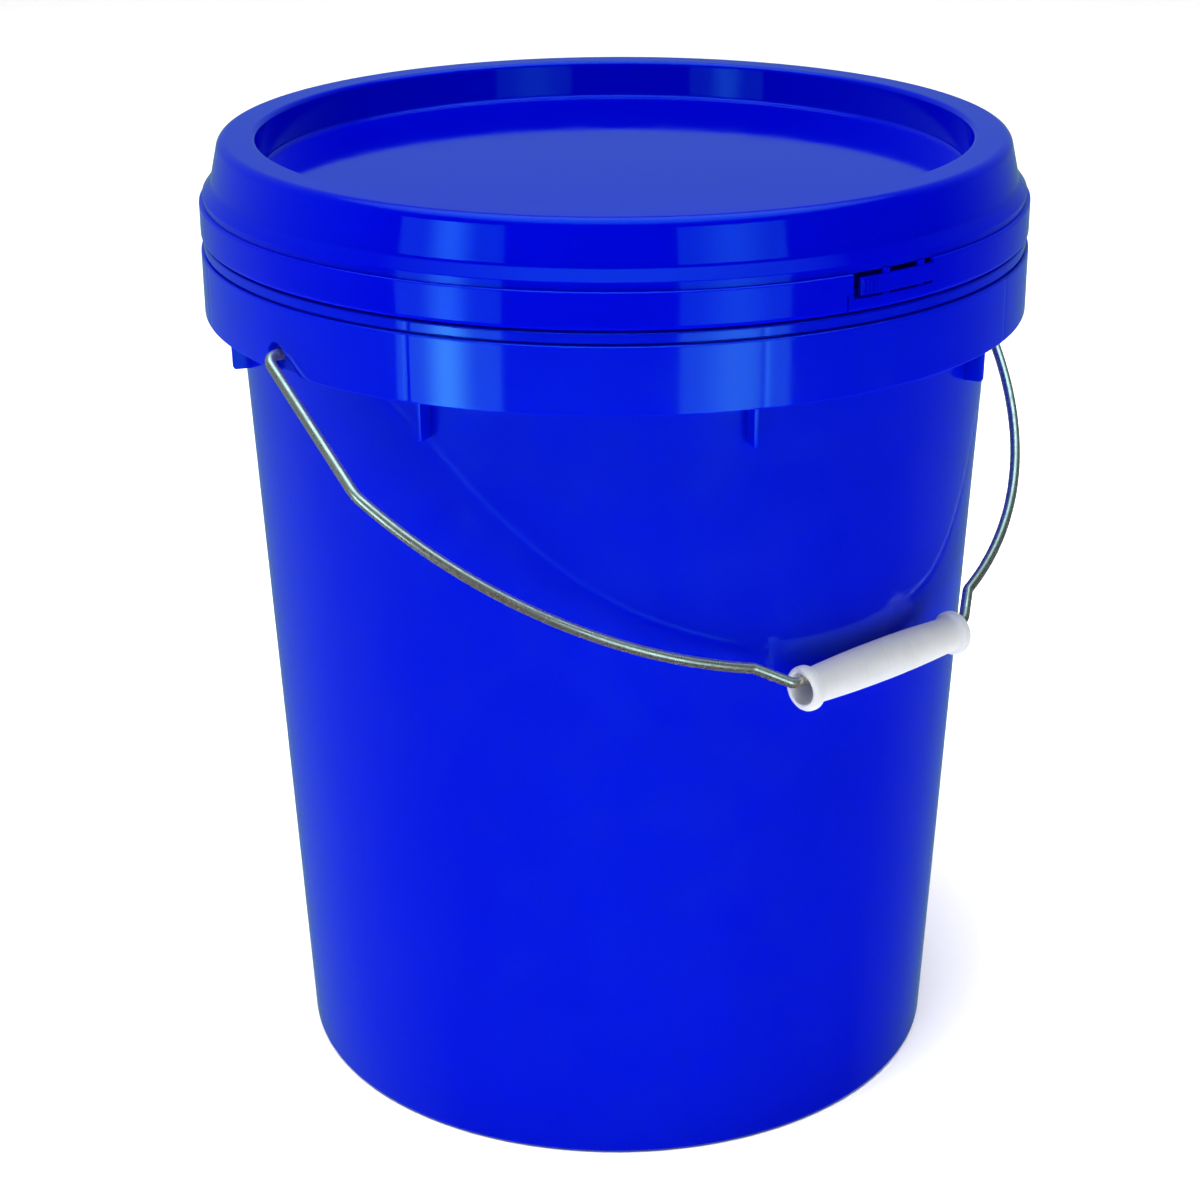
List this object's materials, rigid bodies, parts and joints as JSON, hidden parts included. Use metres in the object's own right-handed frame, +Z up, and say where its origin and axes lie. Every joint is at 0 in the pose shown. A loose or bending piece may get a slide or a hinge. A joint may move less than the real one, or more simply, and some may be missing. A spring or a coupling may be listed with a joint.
{
  "type": "lidded pail",
  "caption": "Tall tapered plastic pail with a press-on dished lid, tear strip and pull tab, and a wire bail with a hollow roll grip.",
  "frame": {"origin": "centre of the base, on the plane that the pail stands on", "axes": "+Z up along the pail's axis; the bail pivots on a line along X and hangs on the -Y side"},
  "size_m": [0.3282, 0.316, 0.3734],
  "materials": {
    "bucket_plastic": "smooth moulded polypropylene, semi-gloss",
    "lid_plastic": "smooth moulded polypropylene, glossy",
    "seal_rubber": "soft foamed seal",
    "bail_wire": "zinc-plated drawn wire",
    "grip_plastic": "natural milky polyethylene, satin"
  },
  "bodies": {
    "pail": {"bucket_wall": "bucket_plastic", "collar_flange": "bucket_plastic", "collar_skirt": "bucket_plastic", "collar_gussets": "bucket_plastic", "pivot_ears": "bucket_plastic", "lock_flange": "bucket_plastic"},
    "lid": {"lid_panel": "lid_plastic", "lid_rim": "lid_plastic", "lid_gasket": "seal_rubber", "tear_strip": "lid_plastic"},
    "tab": {"pull_tab": "lid_plastic"},
    "bail": {"bail_leg_right": "bail_wire", "bail_leg_left": "bail_wire", "bail_side_right": "bail_wire", "bail_side_left": "bail_wire", "bail_bar": "bail_wire"},
    "grip": {"roll_grip": "grip_plastic"}
  },
  "joints": [
    {"name": "lid_lift", "type": "slide", "parent": "pail", "child": "lid", "axis": [0, 0, 1], "range_m": [0, 0.12]},
    {"name": "tab_pull", "type": "hinge", "parent": "lid", "child": "tab", "pos_m": [0.00785, -0.1576, 0.346], "axis": [0, 0, 1], "range_deg": [0, 70]},
    {"name": "bail_swing", "type": "hinge", "parent": "pail", "child": "bail", "pos_m": [0, 0, 0.314], "axis": [-1, 0, 0], "range_deg": [0, 253.8]},
    {"name": "grip_spin", "type": "hinge", "parent": "bail", "child": "grip", "pos_m": [0, -0.1473, 0.19982], "axis": [1, 0, 0], "continuous": true}
  ]
}
